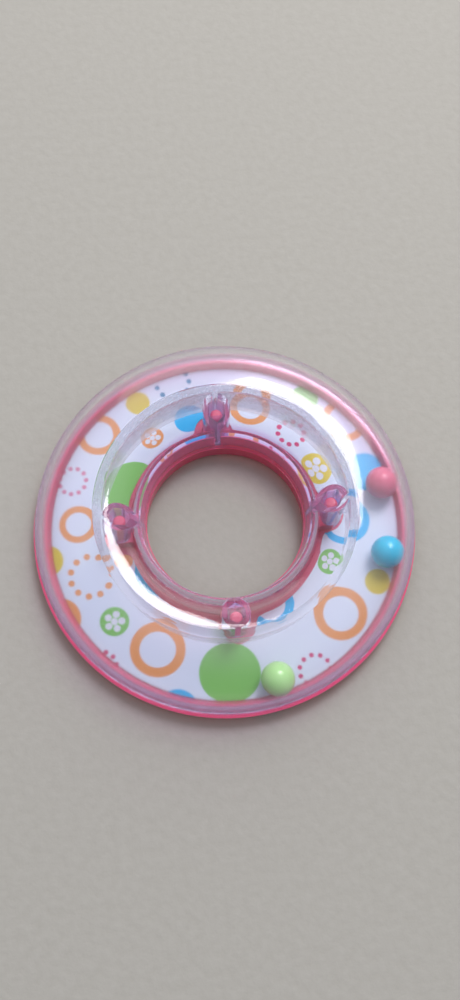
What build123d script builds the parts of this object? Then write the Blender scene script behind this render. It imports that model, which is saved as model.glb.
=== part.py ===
from build123d import *
import os

# Rattle ring of a stacking toy: a red tray and a clear domed cover, held together by the tray's
# four pins, with a printed card and three loose beads shut in between them.
#
# Frame: origin on the hole's axis, in the plane that the ring rests on, +Z up.  The four pins
# stand on the X and Y axes.  All sizes are in millimetres.  Sections are drawn in the XZ plane,
# as radius and height, and turned about Z.

# Whole ring
ring_radius = 42.5
ring_height = 18.0
hole_radius = 17.4

# Red tray
floor_top = 1.8
tray_wall_top = 4.4
tray_wall_inner = 39.7
tray_wall_draft = 0.6
tongue_outer = 40.7
rim_top = 3.4
outer_edge_round = 3.0
hole_edge_round = 1.9
hole_wall_top = 5.4
hole_wall_outer = 19.6
hole_lip_inner = 19.0
hole_lip_top = 9.2
lip_slot_inner = 18.8
lip_slot_outer = 19.8
lip_slot_width = 1.5
foot_recess_inner = 27.2
foot_recess_outer = 36.5
foot_recess_depth = 0.5

# Clear cover: the dome's two slopes are quarter ellipses that meet at its crest
cover_thickness = 1.6
cover_radius = 41.9
crest_radius = 27.3
outer_slope_bottom = 5.0
inner_slope_bottom = 10.4
inner_slope_radius = 18.4
skirt_bottom = 3.5
skirt_inner = 40.8
skirt_joint_height = 4.6
hole_joint_inner = 17.5
hole_joint_outer = 18.9
hole_joint_height = 9.4
partition_root = 17.0
partition_root_inner = 26.3
partition_root_outer = 28.15
partition_foot = 6.2
partition_foot_inner = 26.4
partition_foot_outer = 27.35

# Pins on the tray, each with a pad beside the hole's wall, and the cover's bosses over them, which
# have six-sided bores
pin_count = 4
pin_circle = 23.0
pin_radius = 1.5
pin_taper = 1.0
pin_top = 12.0
pin_end_round = 0.6
pad_inner = 18.2
pad_outer = 23.7
pad_width = 5.8
pad_corner_round = 0.5
pad_top = 5.2
boss_radius = 3.05
boss_bottom = 2.6
boss_foot_cut_width = 6.6
boss_foot_clearance = 0.1
bore_radius = 2.15
bore_sides = 6
web_width = 1.2
web_bottom = 5.45
web_inner = 18.6
web_outer = 26.9

# Printed card, turned a little against the bosses
card_thickness = 0.35
card_inner = 21.4
card_outer = 38.95
card_turn = 1.6
card_notch_circle = 22.7
card_notch_radius = 4.15
card_notch_flare = 2.0

# Beads: moulded balls with a fine parting line round the middle
bead_radius = 3.6
bead_orbit = 36.2
bead_clearance = 0.15
bead_angles = {"bead_pink": 9.0, "bead_blue": -16.6, "bead_green": -77.7}
parting_line_width = 0.16
parting_line_height = 0.04
parting_line_tilt = 60


def draw_slopes(inset):
    """Draw the dome's outer and inner slopes, a given distance in from its outside."""
    EllipticalCenterArc(
        (crest_radius, outer_slope_bottom),
        cover_radius - crest_radius - inset,
        ring_height - outer_slope_bottom - inset,
        start_angle=0,
        arc_size=90,
    )
    EllipticalCenterArc(
        (crest_radius, inner_slope_bottom),
        crest_radius - inner_slope_radius - inset,
        ring_height - inner_slope_bottom - inset,
        start_angle=90,
        arc_size=90,
    )


def pin_circles(radius):
    """Draw one circle round the axis of each pin."""
    with PolarLocations(pin_circle, pin_count):
        Circle(radius)


def spokes(inner, outer, width):
    """Draw one bar along each pin's direction, between two distances from the hole's axis."""
    with PolarLocations((inner + outer) / 2, pin_count):
        Rectangle(outer - inner, width)


def export(piece, name):
    """Label a finished piece and write its STEP file."""
    piece.label = name
    export_step(piece, f"parts/{name}.step")


os.makedirs("parts", exist_ok=True)

# Red tray: floor, outer wall with a tongue inside the cover's skirt, and the hole's wall with a
# lip behind the cover's.
with BuildPart() as base_shell:
    with BuildSketch(Plane.XZ):
        with BuildLine():
            Polyline(
                (hole_radius, 0),
                (ring_radius, 0),
                (ring_radius, rim_top),
                (tongue_outer, rim_top),
                (tongue_outer, tray_wall_top),
                (tray_wall_inner, tray_wall_top),
                (tray_wall_inner - tray_wall_draft, floor_top),
                (hole_wall_outer, floor_top),
                (hole_wall_outer, hole_lip_top),
                (hole_lip_inner, hole_lip_top),
                (hole_lip_inner, hole_wall_top),
                (hole_radius, hole_wall_top),
                close=True,
            )
        make_face()
    revolve(axis=Axis.Z)
    underside_edges = base_shell.edges().filter_by(GeomType.CIRCLE).group_by(Axis.Z)[0]
    hole_edge, outer_edge = underside_edges.sort_by(SortBy.RADIUS)
    fillet(outer_edge, outer_edge_round)
    fillet(hole_edge, hole_edge_round)
    # Shallow recess that leaves two rims to stand on
    with BuildSketch(Plane.XY):
        Circle(foot_recess_outer)
        Circle(foot_recess_inner, mode=Mode.SUBTRACT)
    extrude(amount=foot_recess_depth, mode=Mode.SUBTRACT)
    # Slots in the lip for the cover's webs
    with BuildSketch(Plane.XY.offset(hole_wall_top)):
        spokes(lip_slot_inner, lip_slot_outer, lip_slot_width)
    extrude(amount=hole_lip_top - hole_wall_top, mode=Mode.SUBTRACT)
    # Pads, and the pins that stand on them
    with BuildSketch(Plane.XY.offset(floor_top)):
        with PolarLocations((pad_inner + pad_outer) / 2, pin_count):
            RectangleRounded(pad_outer - pad_inner, pad_width, pad_corner_round)
    extrude(amount=pad_top - floor_top)
    with BuildSketch(Plane.XY.offset(floor_top)):
        pin_circles(pin_radius)
    extrude(amount=pin_top - floor_top, taper=pin_taper)
    pin_ends = base_shell.edges().filter_by(GeomType.CIRCLE).group_by(Axis.Z)[-1]
    fillet(pin_ends, pin_end_round)
export(base_shell.part, "base_shell")

# Outside of the cover as one solid, which also trims the bosses and webs to the dome
with BuildPart() as cover_envelope:
    with BuildSketch(Plane.XZ):
        with BuildLine():
            draw_slopes(0)
            Polyline(
                (inner_slope_radius, inner_slope_bottom),
                (hole_joint_inner, hole_wall_top),
                (hole_joint_outer, hole_wall_top),
                (hole_joint_outer, skirt_bottom),
                (cover_radius, skirt_bottom),
                (cover_radius, outer_slope_bottom),
            )
        make_face()
    revolve(axis=Axis.Z)

# Bosses, each with a web to the hole's wall and to the partition, cut away over the pad and bored
# right through, so that the dome closes the bore
with BuildPart() as bosses:
    with BuildSketch(Plane.XY.offset(web_bottom)):
        pin_circles(boss_radius)
        spokes(web_inner, web_outer, web_width)
    extrude(amount=ring_height - web_bottom)
    add(cover_envelope.part, mode=Mode.INTERSECT)
    with BuildSketch(Plane.XY.offset(boss_bottom)):
        pin_circles(boss_radius)
    extrude(amount=web_bottom - boss_bottom)
    with BuildSketch(Plane.XY.offset(boss_bottom)):
        spokes(pad_inner, pad_outer + boss_foot_clearance, boss_foot_cut_width)
    extrude(amount=pad_top + boss_foot_clearance - boss_bottom, mode=Mode.SUBTRACT)
    with BuildSketch(Plane.XY.offset(boss_bottom)):
        with PolarLocations(pin_circle, pin_count):
            RegularPolygon(bore_radius, bore_sides)
    extrude(amount=ring_height - boss_bottom, mode=Mode.SUBTRACT)

# Clear cover: dome, skirt, hole wall, and the partition between the bead track and the bosses
with BuildPart() as top_shell:
    add(cover_envelope.part)
    with BuildSketch(Plane.XZ):
        with BuildLine():
            draw_slopes(cover_thickness)
            Polyline(
                (inner_slope_radius + cover_thickness, inner_slope_bottom),
                (hole_joint_outer, hole_joint_height),
                (hole_joint_outer, skirt_bottom),
                (cover_radius - cover_thickness, skirt_bottom),
                (cover_radius - cover_thickness, outer_slope_bottom),
            )
        make_face()
        # Room for the tray's tongue inside the skirt
        with Locations(((crest_radius + skirt_inner) / 2, (skirt_bottom + skirt_joint_height) / 2)):
            Rectangle(skirt_inner - crest_radius, skirt_joint_height - skirt_bottom)
    revolve(axis=Axis.Z, mode=Mode.SUBTRACT)
    with BuildSketch(Plane.XZ):
        with BuildLine():
            Polyline(
                (partition_root_inner, partition_root),
                (partition_foot_inner, partition_foot),
                (partition_foot_outer, partition_foot),
                (partition_root_outer, partition_root),
                close=True,
            )
        make_face()
    revolve(axis=Axis.Z)
    add(bosses.part)
export(top_shell.part, "top_shell")

# Printed card: a flat ring on the tray's floor, with a flared notch round each pad and boss
with BuildPart() as printed_card:
    with BuildSketch(Plane.XY.offset(floor_top)) as card_outline:
        Circle(card_outer)
        Circle(card_inner, mode=Mode.SUBTRACT)
        with PolarLocations(card_notch_circle, pin_count, start_angle=card_turn):
            Circle(card_notch_radius, mode=Mode.SUBTRACT)
        notch_corners = card_outline.vertices().sort_by_distance((0, 0, 0))[: 2 * pin_count]
        fillet(notch_corners, card_notch_flare)
    extrude(amount=card_thickness)
export(printed_card.part, "printed_card")

# Loose beads, lying on the card near the outer wall
bead_height = floor_top + card_thickness + bead_clearance + bead_radius
for name, angle in bead_angles.items():
    orbit_start = Location((0, 0, bead_height), (0, 0, angle))
    with BuildPart() as bead:
        with Locations(orbit_start * Location((bead_orbit, 0, 0), (parting_line_tilt, 0, 0))):
            Sphere(bead_radius)
            Cylinder(bead_radius + parting_line_height, parting_line_width)
    export(bead.part, name)
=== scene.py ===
from math import cos, pi, radians, sin

import bpy
from mathutils import Matrix, Vector

# Looks for the rattle ring: clear cover, red tray, printed card and beads.
# Places on the card and in the cover are in millimetres and degrees about the ring's axis; the rest
# is in metres.

MM = 0.001

# Camera: it looks down at the ring from in front, a little turned and rolled
CAMERA_TILT = radians(18.3)
CAMERA_TURN = radians(-8.9)
CAMERA_ROLL = radians(3.6)
CAMERA_DISTANCE = 0.2255
CAMERA_LENS = 35.5
AIM_OFFSET = Vector((0.0018, 0.0067, 0.0))

# Plastic, and the places in the cover where its finish changes.  OUTER_DOME, SKIRT and HOLE_WALL give
# the radius where a change starts and where it is complete, and BOSS does so from a pin's axis.
PLASTIC_IOR = 1.49
PARTITION_EDGES = (26.1, 28.4)
PARTITION_BLUR = 0.2
PARTITION_TOP = 15.6
OUTER_DOME = (26.0, 31.0)
SKIRT = (39.6, 41.2)
HOLE_WALL = (20.0, 18.8)
PIN_CIRCLE = 23.0
BOSS = (3.5, 3.1)
BOSS_TOP = 14.4

# Roughness and milkiness of the cover: what all of it has, and what each stretch adds
BODY_HAZE, FROST_HAZE, OUTER_HAZE, SCUFF_HAZE = 0.03, 0.20, 0.05, 0.06
BODY_MILK, FROST_MILK, OUTER_MILK, BOSS_MILK, STEEP_MILK = 0.01, 0.50, 0.02, 0.20, 0.12
FROST_OPEN_SHARE = 0.58

# The cover's own colour, and a painted mauve reflection at the bosses and steep walls, standing in for the
# red plastic's light seen through and reflected in the clear plastic there
CLEAR = (0.97, 0.95, 0.97)
PAINTED_MAUVE_REFLECTION = (0.88, 0.60, 0.94)

# Light left after one surface of each plastic; steep walls of the cover colour it mauve
CLEAR_SHADE = (0.93, 0.93, 0.95)
STEEP_SHADE = (0.94, 0.77, 0.92)
RED_SHADE = (0.50, 0.08, 0.10)

# Sky: azimuth and elevation of its brightest point, its strength by the cosine of the angle to that
# point, its colour, and how bright it is as a backdrop
SKY_CENTRE = (68.0, 62.0)
SKY_FALL_OFF = {"From Min": 0.0, "From Max": 1.0, "To Min": 0.10, "To Max": 0.95}
SKY_COLOUR = (0.84, 0.89, 1.0)
BACKDROP = 0.65

# Softboxes: azimuth, elevation, distance, width, height and power
SOFTBOXES = {
    "window": (61.0, 57.0, 0.9, 0.36, 0.36, 4.4),
    "fill": (75.0, 20.0, 0.9, 1.4, 0.4, 2.2),
}

# Two shades each of the tray, the floor and the beads, and three of the card, as linear colours
TRAY_SHADES = (0.86, 0.08, 0.19), (0.93, 0.12, 0.24)
FLOOR_SHADES = (0.40, 0.37, 0.32), (0.46, 0.43, 0.38)
BEAD_SHADES = {
    "bead_pink": ((0.80, 0.14, 0.24), (0.90, 0.19, 0.31)),
    "bead_blue": ((0.0, 0.54, 0.80), (0.0, 0.66, 0.92)),
    "bead_green": ((0.50, 0.90, 0.32), (0.60, 0.98, 0.40)),
}
PAPER_SHADES = (0.62, 0.75, 0.90), (0.76, 0.74, 0.90), (0.74, 0.81, 0.90)

# Inks, as linear colours
ORANGE = (0.78, 0.31, 0.09)
GREEN = (0.19, 0.52, 0.09)
YELLOW = (0.70, 0.55, 0.05)
BLUE = (0.0, 0.45, 0.85)
RED = (0.60, 0.03, 0.16)
PINK = (0.65, 0.16, 0.30)
DARK_BLUE = (0.02, 0.20, 0.40)
WHITE = (0.75, 0.77, 0.85)

# Printed discs: colour, distance from the ring's axis, angle, radius
DISCS = [
    (ORANGE, 41.7, 205.5, 4.5),
    (ORANGE, 23.6, 194.4, 2.2),
    (GREEN, 32.9, 266.4, 6.6),
    (GREEN, 22.5, 152.6, 6.5),
    (GREEN, 36.6, 53.8, 3.3),
    (YELLOW, 36.3, 119.1, 2.8),
    (YELLOW, 36.1, 333.8, 2.9),
    (YELLOW, 40.2, 186.8, 3.5),
    (BLUE, 26.9, 102.2, 3.7),
    (BLUE, 34.8, 16.6, 4.6),
    (BLUE, 17.9, 211.2, 5.3),
    (BLUE, 41.8, 250.8, 4.2),
]

# Printed rings: colour, distance from the ring's axis, angle, outer radius, inner radius
RINGS = [
    (ORANGE, 29.4, 73.2, 4.7, 3.0),
    (ORANGE, 36.5, 138.0, 5.0, 3.3),
    (ORANGE, 32.9, 174.5, 4.3, 2.8),
    (ORANGE, 31.4, 237.2, 6.0, 3.9),
    (ORANGE, 32.2, 316.3, 5.9, 3.9),
    (ORANGE, 38.1, 37.4, 5.4, 3.6),
    (BLUE, 26.8, 357.8, 5.8, 4.2),
    (BLUE, 20.5, 293.2, 5.2, 3.2),
]

# Rings of dots: colour, distance from the ring's axis, angle, ring radius, dot radius, dots
DOT_RINGS = [
    (RED, 27.0, 50.2, 3.1, 0.62, 10),
    (PINK, 36.2, 158.1, 3.1, 0.52, 11),
    (RED, 37.7, 295.5, 3.4, 0.52, 11),
    (RED, 41.1, 224.8, 3.0, 0.55, 10),
    (ORANGE, 31.8, 196.5, 4.5, 0.72, 11),
    (DARK_BLUE, 37.4, 104.1, 3.9, 0.60, 11),
]

# Discs with a flower of white dots: colour, distance from the ring's axis, angle, radius
FLOWERS = [
    (YELLOW, 24.6, 27.8, 3.9),
    (GREEN, 24.5, 334.9, 2.9),
    (GREEN, 32.4, 217.0, 3.2),
    (ORANGE, 26.8, 123.5, 2.7),
]
FLOWER_PETALS = 5
FLOWER_RADIUS = 0.5
PETAL_RADIUS = 0.24


class Graph:
    """A material's node tree, with short calls for the nodes used here."""

    def __init__(self, name):
        self.material = bpy.data.materials.new(name)
        self.material.use_nodes = True
        self.tree = self.material.node_tree
        self.tree.nodes.clear()

    def node(self, kind, inputs=(), **settings):
        """Add a node; inputs maps a socket's name or number to a value or to an output."""
        node = self.tree.nodes.new(kind)
        for name, value in settings.items():
            setattr(node, name, value)
        for socket, value in dict(inputs).items():
            if isinstance(value, bpy.types.NodeSocket):
                self.tree.links.new(value, node.inputs[socket])
            else:
                node.inputs[socket].default_value = value
        return node

    def math(self, operation, *values, clamp=False):
        """One scalar sum, difference, product and so on."""
        inputs = dict(enumerate(values))
        return self.node("ShaderNodeMath", inputs, operation=operation, use_clamp=clamp).outputs[0]

    def mix(self, factor, first, second):
        """Blend two colours."""
        inputs = {0: factor, 6: first, 7: second}
        return self.node("ShaderNodeMix", inputs, data_type="RGBA").outputs[2]

    def place(self):
        """The piece's coordinates in the toy's frame, in millimetres."""
        place = self.node("ShaderNodeTexCoord").outputs["Object"]
        split = self.node("ShaderNodeSeparateXYZ", {0: place}).outputs
        return [self.math("DIVIDE", axis, MM) for axis in split]

    def length(self, across, along):
        """Straight distance from two offsets."""
        first = self.math("MULTIPLY", across, across)
        second = self.math("MULTIPLY", along, along)
        return self.math("SQRT", self.math("ADD", first, second))

    def total(self, start, *terms):
        """A starting value plus each mask times its amount."""
        for mask, amount in terms:
            start = self.math("MULTIPLY_ADD", mask, amount, start)
        return start

    def rise(self, value, start, end):
        """0 below start, 1 above end, and a smooth slope between them."""
        inputs = {"Value": value, "From Min": start, "From Max": end}
        return self.node("ShaderNodeMapRange", inputs, interpolation_type="SMOOTHSTEP").outputs[0]

    def noise(self, scale, detail=2.0, roughness=0.5):
        """Cloudy pattern over the piece, in the toy's frame."""
        place = self.node("ShaderNodeTexCoord").outputs["Object"]
        inputs = {"Vector": place, "Scale": scale, "Detail": detail, "Roughness": roughness}
        return self.node("ShaderNodeTexNoise", inputs).outputs["Fac"]

    def bump(self, height, distance, strength=1.0):
        """Fine relief from a pattern."""
        inputs = {"Height": height, "Distance": distance, "Strength": strength}
        return self.node("ShaderNodeBump", inputs).outputs["Normal"]

    def finish(self, shader):
        """Connect the shader to the output and hand back the material."""
        self.node("ShaderNodeOutputMaterial", {"Surface": shader})
        return self.material


def solid(colour):
    """A colour with full alpha."""
    return (*colour, 1.0)


def let_lamps_through(graph, shader, tint, share=0.0):
    """Rays from lamps and from matt surfaces pass straight through, tinted, and a share of all others."""
    path = graph.node("ShaderNodeLightPath").outputs
    either = graph.math("MAXIMUM", path["Is Shadow Ray"], path["Is Diffuse Ray"])
    passing = graph.math("MAXIMUM", either, share)
    open_way = graph.node("ShaderNodeBsdfTransparent", {"Color": tint})
    return graph.node("ShaderNodeMixShader", {0: passing, 1: shader, 2: open_way.outputs[0]}).outputs[0]


def on_partition(graph, radius, height):
    """1 on the ring-shaped partition under the dome."""
    inside, outside = PARTITION_EDGES
    past_inside = graph.rise(radius, inside, inside + PARTITION_BLUR)
    before_outside = graph.rise(radius, outside, outside - PARTITION_BLUR)
    band = graph.math("MULTIPLY", past_inside, before_outside)
    return graph.math("MULTIPLY", band, graph.math("LESS_THAN", height, PARTITION_TOP))


def on_boss(graph, x, y, height):
    """1 on each boss: the larger offset runs along the boss's own axis, the smaller across it."""
    across, along = graph.math("ABSOLUTE", x), graph.math("ABSOLUTE", y)
    outward = graph.math("SUBTRACT", graph.math("MAXIMUM", across, along), PIN_CIRCLE)
    sideways = graph.math("MINIMUM", across, along)
    near_pin = graph.rise(graph.length(outward, sideways), *BOSS)
    return graph.math("MULTIPLY", near_pin, graph.math("LESS_THAN", height, BOSS_TOP))


def clear_plastic():
    """Clear polystyrene: hazier on the outer slope, frosted on the partition, with a painted mauve
    reflection of the red plastic at the steep walls and bosses.
    """
    graph = Graph("clear_plastic")
    x, y, height = graph.place()
    radius = graph.length(x, y)
    outer = graph.rise(radius, *OUTER_DOME)
    steep = graph.math("MAXIMUM", graph.rise(radius, *SKIRT), graph.rise(radius, *HOLE_WALL))
    frost = on_partition(graph, radius, height)
    boss = on_boss(graph, x, y, height)
    scuffs = graph.noise(900.0, 6.0, 0.7)
    haze = graph.total(BODY_HAZE, (frost, FROST_HAZE), (outer, OUTER_HAZE), (scuffs, SCUFF_HAZE))
    milk = graph.total(
        BODY_MILK, (frost, FROST_MILK), (outer, OUTER_MILK), (boss, BOSS_MILK), (steep, STEEP_MILK)
    )
    shader = graph.node(
        "ShaderNodeBsdfPrincipled",
        {
            # Painted reflection: steep walls and bosses are tinted mauve to stand in for the red plastic's
            # light seen in them
            "Base Color": graph.mix(graph.math("MAXIMUM", steep, boss), solid(CLEAR), solid(PAINTED_MAUVE_REFLECTION)),
            "Roughness": haze,
            "IOR": PLASTIC_IOR,
            "Transmission Weight": graph.math("SUBTRACT", 1.0, milk),
            "Normal": graph.bump(graph.noise(60.0), 0.00004),
        },
    ).outputs[0]
    shade = graph.mix(steep, solid(CLEAR_SHADE), solid(STEEP_SHADE))
    open_share = graph.math("MULTIPLY", frost, FROST_OPEN_SHARE)
    return graph.finish(let_lamps_through(graph, shader, shade, open_share))


def red_plastic():
    """Translucent red moulded plastic."""
    graph = Graph("red_plastic")
    grain = graph.noise(400.0, 4.0)
    dark, light = map(solid, TRAY_SHADES)
    shader = graph.node(
        "ShaderNodeBsdfPrincipled",
        {
            "Base Color": graph.mix(graph.noise(50.0), dark, light),
            "Roughness": graph.math("MULTIPLY_ADD", grain, 0.12, 0.10),
            "IOR": PLASTIC_IOR,
            "Transmission Weight": 0.15,
            "Subsurface Weight": 0.4,
            "Subsurface Radius": (1.0, 0.3, 0.4),
            "Subsurface Scale": 0.004,
            "Normal": graph.bump(grain, 0.00002),
        },
    ).outputs[0]
    return graph.finish(let_lamps_through(graph, shader, solid(RED_SHADE)))


def bead_plastic(name, dark, light):
    """Glossy moulded bead, faintly cloudy."""
    graph = Graph(name)
    shader = graph.node(
        "ShaderNodeBsdfPrincipled",
        {
            "Base Color": graph.mix(graph.noise(300.0, 3.0), solid(dark), solid(light)),
            "Roughness": graph.math("MULTIPLY_ADD", graph.noise(1500.0, 4.0), 0.14, 0.16),
            "Subsurface Weight": 0.35,
            "Subsurface Radius": (1.0, 1.0, 1.0),
            "Subsurface Scale": 0.002,
            "Specular IOR Level": 0.4,
            "Coat Weight": 0.2,
            "Normal": graph.bump(graph.noise(700.0), 0.00002),
        },
    ).outputs[0]
    return graph.finish(shader)


class Print(Graph):
    """The card's inks, laid one over another by distance from each motif's centre.

    EDGE is the width over which an ink fades out at its edge.
    """

    EDGE = 0.12

    def __init__(self, name, paper):
        super().__init__(name)
        self.x, self.y, _ = self.place()
        self.colour = paper(self)

    def offsets(self, distance, angle):
        """How far each point is from a motif's centre, along X and Y."""
        turn = radians(angle)
        return (
            self.math("SUBTRACT", self.x, distance * cos(turn)),
            self.math("SUBTRACT", self.y, distance * sin(turn)),
        )

    def lay(self, colour, inside):
        """Print a colour where inside, a distance in from the motif's edge, is positive."""
        mask = self.math("MULTIPLY_ADD", inside, 1 / self.EDGE, 0.5, clamp=True)
        self.colour = self.mix(mask, self.colour, solid(colour))

    def disc(self, colour, distance, angle, radius):
        """A full disc."""
        gap = self.length(*self.offsets(distance, angle))
        self.lay(colour, self.math("SUBTRACT", radius, gap))

    def ring(self, colour, distance, angle, outer, inner):
        """A plain ring."""
        gap = self.length(*self.offsets(distance, angle))
        from_middle = self.math("ABSOLUTE", self.math("SUBTRACT", gap, (outer + inner) / 2))
        self.lay(colour, self.math("SUBTRACT", (outer - inner) / 2, from_middle))

    def dots(self, colour, distance, angle, radius, dot_radius, count):
        """A ring of dots: each point is turned into the wedge of its nearest dot."""
        across, along = self.offsets(distance, angle)
        gap = self.length(across, along)
        wedge = 2 * pi / count
        turn = self.math("ARCTAN2", along, across)
        nearest = self.math("MULTIPLY", self.math("ROUND", self.math("DIVIDE", turn, wedge)), wedge)
        left_over = self.math("SUBTRACT", turn, nearest)
        outward = self.math("SUBTRACT", self.math("MULTIPLY", gap, self.math("COSINE", left_over)), radius)
        sideways = self.math("MULTIPLY", gap, self.math("SINE", left_over))
        self.lay(colour, self.math("SUBTRACT", dot_radius, self.length(outward, sideways)))

    def flower(self, colour, distance, angle, radius):
        """A disc with a white flower of dots."""
        self.disc(colour, distance, angle, radius)
        self.disc(WHITE, distance, angle, radius * PETAL_RADIUS)
        self.dots(WHITE, distance, angle, radius * FLOWER_RADIUS, radius * PETAL_RADIUS, FLOWER_PETALS)


def pearly_paper(graph):
    """White card with a faint blue and lilac lustre."""
    blue, lilac, white = map(solid, PAPER_SHADES)
    lustre = graph.mix(graph.noise(35.0, 1.0), blue, lilac)
    return graph.mix(graph.noise(90.0, 2.0), lustre, white)


def printed_card():
    """Pearly card with its printed pattern."""
    graph = Print("printed_card", pearly_paper)
    for disc in DISCS:
        graph.disc(*disc)
    for ring in RINGS:
        graph.ring(*ring)
    for dots in DOT_RINGS:
        graph.dots(*dots)
    for flower in FLOWERS:
        graph.flower(*flower)
    fibres = graph.noise(3000.0, 3.0)
    shader = graph.node(
        "ShaderNodeBsdfPrincipled",
        {
            "Base Color": graph.colour,
            "Roughness": graph.math("MULTIPLY_ADD", fibres, 0.15, 0.35),
            "Specular IOR Level": 0.3,
            "Coat Weight": 0.1,
            "Normal": graph.bump(fibres, 0.00001),
        },
    ).outputs[0]
    return graph.finish(shader)


def floor_finish():
    """Pale matt floor with a fine grain."""
    graph = Graph("floor")
    grain = graph.noise(500.0, 4.0)
    dark, light = map(solid, FLOOR_SHADES)
    shader = graph.node(
        "ShaderNodeBsdfPrincipled",
        {
            "Base Color": graph.mix(grain, dark, light),
            "Roughness": 0.8,
            "Normal": graph.bump(grain, 0.0001),
        },
    ).outputs[0]
    return graph.finish(shader)


def give_material(node, material):
    """Put one material on a CAD node."""
    node.data.materials.clear()
    node.data.materials.append(material)


def dress_nodes(nodes):
    """Give every CAD node its finish."""
    finishes = {
        "base_shell": red_plastic(),
        "top_shell": clear_plastic(),
        "printed_card": printed_card(),
    }
    for name, shades in BEAD_SHADES.items():
        finishes[name] = bead_plastic(name, *shades)
    for name, node in nodes.items():
        give_material(node, finishes[name])


def add_floor():
    """A wide floor under the ring."""
    bpy.ops.mesh.primitive_plane_add(size=3.0)
    floor = bpy.context.object
    floor.name = "floor"
    floor.data.materials.append(floor_finish())


def direction(azimuth, elevation):
    """Unit vector towards a point of the sky, in degrees."""
    turn, rise = radians(azimuth), radians(elevation)
    return Vector((cos(turn) * cos(rise), sin(turn) * cos(rise), sin(rise)))


def add_softbox(name, azimuth, elevation, distance, width, height, power):
    """A rectangular lamp aimed at the ring."""
    lamp = bpy.data.lights.new(name, "AREA")
    lamp.shape = "RECTANGLE"
    lamp.size = width
    lamp.size_y = height
    lamp.energy = power
    softbox = bpy.data.objects.new(name, lamp)
    towards = direction(azimuth, elevation)
    softbox.location = towards * distance
    softbox.rotation_euler = towards.to_track_quat("Z", "Y").to_euler()
    bpy.context.scene.collection.objects.link(softbox)


def add_sky():
    """Soft pale light, brightest high behind the ring and weakest low in front, on an even backdrop."""
    world = bpy.data.worlds.new("studio")
    world.use_nodes = True
    nodes, links = world.node_tree.nodes, world.node_tree.links
    closeness = nodes.new("ShaderNodeVectorMath")
    closeness.operation = "DOT_PRODUCT"
    links.new(nodes.new("ShaderNodeTexCoord").outputs["Generated"], closeness.inputs[0])
    closeness.inputs[1].default_value = direction(*SKY_CENTRE)
    fall_off = nodes.new("ShaderNodeMapRange")
    fall_off.interpolation_type = "SMOOTHSTEP"
    links.new(closeness.outputs["Value"], fall_off.inputs["Value"])
    for name, value in SKY_FALL_OFF.items():
        fall_off.inputs[name].default_value = value
    background = nodes["Background"]
    background.inputs["Color"].default_value = solid(SKY_COLOUR)
    backdrop = nodes.new("ShaderNodeMix")
    links.new(nodes.new("ShaderNodeLightPath").outputs["Is Camera Ray"], backdrop.inputs["Factor"])
    links.new(fall_off.outputs[0], backdrop.inputs["A"])
    backdrop.inputs["B"].default_value = BACKDROP
    links.new(backdrop.outputs[0], background.inputs["Strength"])
    bpy.context.scene.world = world


def add_camera():
    """The camera at the reference view."""
    data = bpy.data.cameras.new("camera")
    data.lens = CAMERA_LENS
    data.clip_start = 0.01
    camera = bpy.data.objects.new("camera", data)
    turn = Matrix.Rotation(CAMERA_TURN, 4, "Z")
    tilt = Matrix.Rotation(CAMERA_TILT, 4, "X")
    roll = Matrix.Rotation(CAMERA_ROLL, 4, "Z")
    facing = turn @ tilt @ roll
    place = AIM_OFFSET + facing @ Vector((0, 0, CAMERA_DISTANCE))
    camera.matrix_world = Matrix.Translation(place) @ facing
    bpy.context.scene.collection.objects.link(camera)
    bpy.context.scene.camera = camera


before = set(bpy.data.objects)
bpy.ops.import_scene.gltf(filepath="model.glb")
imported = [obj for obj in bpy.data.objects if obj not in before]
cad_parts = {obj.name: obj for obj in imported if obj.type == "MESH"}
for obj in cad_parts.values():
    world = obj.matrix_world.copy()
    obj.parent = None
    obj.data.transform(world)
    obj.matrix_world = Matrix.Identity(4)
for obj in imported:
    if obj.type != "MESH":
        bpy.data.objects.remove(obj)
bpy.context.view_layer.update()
dress_nodes(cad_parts)
add_floor()
add_sky()
for name, place_and_size in SOFTBOXES.items():
    add_softbox(name, *place_and_size)
add_camera()
bpy.context.scene.view_settings.view_transform = "Standard"
